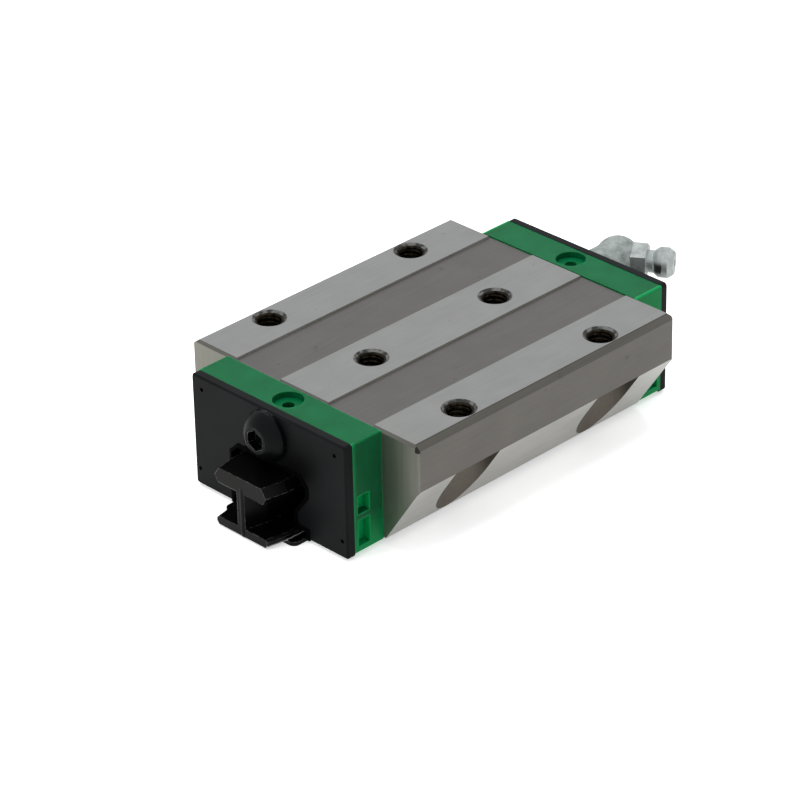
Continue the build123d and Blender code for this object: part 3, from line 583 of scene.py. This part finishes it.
# %% Zinc plate, dull and bright
zinc_finishes = {
    "nipple_elbow": ("Dull zinc plate on forged steel", 0.5, ("#8A9290", "#ACB3B0"), (0.8, 0.6)),
    # painted light: the head's zinc is paler than the elbow's, for a head the lamps leave in shade
    "nipple_head": ("Zinc plate on turned steel, painted paler", 0.85, ("#B4BCBA", "#D4DAD8"), (0.52, 0.38)),
}
nipple_axis, nipple_height = (0.544639, -0.838671, 0.0), -5.75 * MM
ring_middle, ring_half, ring_wander, spangle_size = 38.95 * MM, 0.8 * MM, 1.1 * MM, 1.6 * MM
shade_fade = {"From Min": 0.7 * MM, "From Max": 1.5 * MM, "To Min": 0.92, "To Max": 0.12}
for node, (name, metallic, (dark, pale), (rough, smooth)) in zinc_finishes.items():
    zinc, tree, shader = new_material(name, pale, rough, metallic=metallic)
    coords = add(tree, "TexCoord")
    cloudy = {"Scale": 1 / spangle_size, "Detail": 6.0, "Roughness": 0.65}
    spangle = add(tree, "TexNoise", cloudy, {"Vector": coords.outputs["Object"]})
    stain = add(tree, "ValToRGB", feeds={0: spangle.outputs[0]})
    stain.color_ramp.elements[0].position, stain.color_ramp.elements[0].color = 0.34, linear(dark)
    stain.color_ramp.elements[1].position, stain.color_ramp.elements[1].color = 0.62, linear(pale)
    tree.links.new(stain.outputs[0], shader.inputs["Base Color"])
    if node == "nipple_head":
        # painted shade: a dark ring behind the ball of the head, faded up and down
        here = {0: coords.outputs["Object"]}
        place = add(tree, "SeparateXYZ", feeds=here)
        along = add(tree, "VectorMath", {1: nipple_axis}, here, operation="DOT_PRODUCT")
        wander = add(tree, "Math", {1: ring_wander}, {0: spangle.outputs[0]}, operation="MULTIPLY")
        ragged = add(tree, "Math", feeds={0: along.outputs["Value"], 1: wander.outputs[0]}, operation="ADD")
        ring = add(tree, "Math", {1: ring_middle, 2: ring_half}, {0: ragged.outputs[0]}, operation="COMPARE")
        from_axis = add(tree, "Math", {1: -nipple_height}, {0: place.outputs["Z"]}, operation="ADD")
        off_axis = add(tree, "Math", feeds={0: from_axis.outputs[0]}, operation="ABSOLUTE")
        off_axis_fade = add(tree, "MapRange", shade_fade, {0: off_axis.outputs[0]})
        head_shade_ring = add(tree, "Math", feeds={0: ring.outputs[0], 1: off_axis_fade.outputs[0]}, operation="MULTIPLY")
        over_zinc_stain = {0: head_shade_ring.outputs[0], 6: stain.outputs[0]}
        shaded_head = add(tree, "Mix", {7: linear("#17191B")}, over_zinc_stain, data_type="RGBA")
        tree.links.new(shaded_head.outputs[2], shader.inputs["Base Color"])
    dull = add(tree, "MapRange", {"To Min": rough, "To Max": smooth}, {0: spangle.outputs[0]})
    tree.links.new(dull.outputs[0], shader.inputs["Roughness"])
    uneven = add(tree, "Bump", {"Strength": 0.3, "Distance": 0.1 * MM}, {"Height": spangle.outputs[0]})
    tree.links.new(uneven.outputs[0], shader.inputs["Normal"])
    dress(zinc, node)

# %% [markdown]
# The balls run in four closed circuits. The CAD model has them with flat facets, to keep it light; here
# each circuit gets smooth round balls at exactly the same places. Each CAD ball is a loose island of its
# mesh, so flooding through corners that share a place, to a ten millionth of a metre, finds the islands,
# and the middle of each is the place of its ball.

# %% Round balls
polished, tree, shader = new_material("Polished bearing steel", "#B9B9BB", 0.08, metallic=1.0)
film_size = 1.5 * MM
coords = add(tree, "TexCoord")
film = add(tree, "TexNoise", {"Scale": 1 / film_size, "Detail": 3.0}, {"Vector": coords.outputs["Object"]})
film_rough = add(tree, "MapRange", {"To Min": 0.05, "To Max": 0.16}, {0: film.outputs[0]})
tree.links.new(film_rough.outputs[0], shader.inputs["Roughness"])
dress(polished, "nipple_check_ball")


places_per_metre = 1e7


def island_middles(mesh):
    """The middle of each loose part of a mesh."""
    parent = {}

    def root(key):
        while parent.setdefault(key, key) != key:
            key = parent[key]
        return key

    keys = [tuple(round(c * places_per_metre) for c in v.co) for v in mesh.vertices]
    for edge in mesh.edges:
        parent[root(keys[edge.vertices[0]])] = root(keys[edge.vertices[1]])
    groups = {}
    for key, vertex in zip(keys, mesh.vertices):
        groups.setdefault(root(key), set()).add(tuple(vertex.co))
    return [sum((Vector(p) for p in group), Vector()) / len(group) for group in groups.values()]


ball_diameter = 3.969
unit = bmesh.new()
bmesh.ops.create_icosphere(unit, subdivisions=3, radius=ball_diameter / 2 * MM)
unit_points = [v.co.copy() for v in unit.verts]
unit_faces = [[v.index for v in f.verts] for f in unit.faces]
unit.free()
for row in ("upper", "lower"):
    for hand in ("left", "right"):
        node = f"ball_circuit_{row}_{hand}"
        middles = island_middles(nodes[node].data)
        points, faces = [], []
        for middle in middles:
            start = len(points)
            points += [p + middle for p in unit_points]
            faces += [[i + start for i in f] for f in unit_faces]
        circuit = new_piece(f"round_balls_{row}_{hand}", points, faces, polished)
        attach(circuit, "carriage")
        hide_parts(node)
        print(circuit.name, len(middles), "balls")

# %% [markdown]
# Moulded parts are never quite clean, and two such faults show in the photograph. At the top left of the
# front lip a torn skin of rubber stands over the seal, where rubber leaked between the mould's halves: it
# is a strip between the lip's edge and a ragged outer line, thick at the lip and thin where it tore. The
# transport rail has a seam down its nose, where its mould closed: a low half-round ridge that wanders a
# little.

# %% Rubber flash and mould seam
def evenly(line, count):
    """Points evenly spaced along a bent line."""
    steps = [(Vector(b) - Vector(a)).length for a, b in zip(line, line[1:])]
    points = []
    for index in range(count):
        ahead = sum(steps) * index / (count - 1)
        leg = 0
        while leg < len(steps) - 1 and ahead > steps[leg]:
            ahead -= steps[leg]
            leg += 1
        points.append(Vector(line[leg]).lerp(Vector(line[leg + 1]), min(1.0, ahead / steps[leg])))
    return points


torn_line = [(11.15, -15.2), (11.0, -12.9), (9.4, -12.25), (8.76, -11.16), (7.87, -10.74), (7.62, -11.19),
             (6.15, -10.49), (5.0, -10.72), (3.6, -11.25)]
lip_line = [(10.4, -15.2), (10.4, -13.45), (8.6, -11.68), (3.6, -11.68)]
torn_x, lip_x, plate_x, ragged, tears_per_mm, flash_rows = -45.83, -46.08, -45.74, 0.13, 2.1, 90
points, faces = [], []
for (torn_y, torn_z), (held_y, held_z) in zip(evenly(torn_line, flash_rows), evenly(lip_line, flash_rows)):
    wander = ragged * noise.noise((torn_y * tears_per_mm, torn_z * tears_per_mm, 0.0))
    edge_y, edge_z = torn_y + wander, torn_z + wander
    points += [(torn_x * MM, edge_y * MM, edge_z * MM), (lip_x * MM, held_y * MM, held_z * MM),
               (plate_x * MM, held_y * MM, held_z * MM), (plate_x * MM, edge_y * MM, edge_z * MM)]
for start in range(0, len(points) - 4, 4):
    faces += [(start + a, start + (a + 1) % 4, start + 4 + (a + 1) % 4, start + 4 + a) for a in range(4)]
faces += [(3, 2, 1, 0), tuple(range(len(points) - 4, len(points)))]
flash = new_piece("rubber_flash_front", points, faces, lip_rubber, smooth=False)
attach(flash, "carriage")

seam_x, seam_y, seam_half, seam_height = -53.37, -0.25, 0.5, 0.28
seam_top, seam_bottom, seam_rows, seam_arc = -13.6, -25.05, 70, 8
seam_wander, waves_per_mm, fade_in, fade_out, low_end = 0.16, 0.5, 4, 8, 0.3
points, faces = [], []
for row in range(seam_rows + 1):
    z = seam_top + (seam_bottom - seam_top) * row / seam_rows
    wander = seam_wander * noise.noise((0.0, 0.0, z * waves_per_mm))
    end = min(1.0, fade_in * row / seam_rows, fade_out * (1 - row / seam_rows) + low_end)
    for step in range(seam_arc + 1):
        angle = pi * step / seam_arc
        points.append(((seam_x - seam_height * end * sin(angle)) * MM,
                       (seam_y + wander + seam_half * cos(angle)) * MM, z * MM))
for row in range(seam_rows):
    for step in range(seam_arc):
        a = row * (seam_arc + 1) + step
        faces.append((a, a + seam_arc + 1, a + seam_arc + 2, a + 1))
seam = new_piece("transport_rail_seam", points, faces, black_moulding)
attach(seam, "transport_rail")
print("flash and seam added")

# %% [markdown]
# The last hidden pieces: the stamped steel strips that keep the balls in, and the white acetal return
# guides inside the caps. Both show only from below or with the transport rail pushed out. The rolled
# strip's lines are too fine to show, so they are drawn 0.3 mm apart.

# %% Strips and guides
strip_steel, tree, shader = new_material("Rolled spring strip", "#9A9A98", 0.3, metallic=1.0)
coords = add(tree, "TexCoord")
drawn_along, rolling_spacing = (0.03, 1, 1), 0.3 * MM
rolled = add(tree, "VectorMath", {1: drawn_along}, {0: coords.outputs["Object"]}, operation="MULTIPLY")
lines = add(tree, "TexNoise", {"Scale": 1 / rolling_spacing, "Detail": 3.0}, {"Vector": rolled.outputs[0]})
rough = add(tree, "MapRange", {"To Min": 0.22, "To Max": 0.4}, {0: lines.outputs[0]})
tree.links.new(rough.outputs[0], shader.inputs["Roughness"])
dress(strip_steel, "ball_retainer_left", "ball_retainer_right")

acetal, tree, shader = new_material("White moulded acetal", "#D9D7CE", 0.35, IOR=1.48)
coords = add(tree, "TexCoord")
moulded_skin(tree, shader, coords, grain_size=0.3 * MM, detail=2.0, strength=0.1, depth=0.03 * MM)
dress(acetal, *[f"return_guide_{end}_{hand}" for end in ("front", "rear") for hand in ("left", "right")])
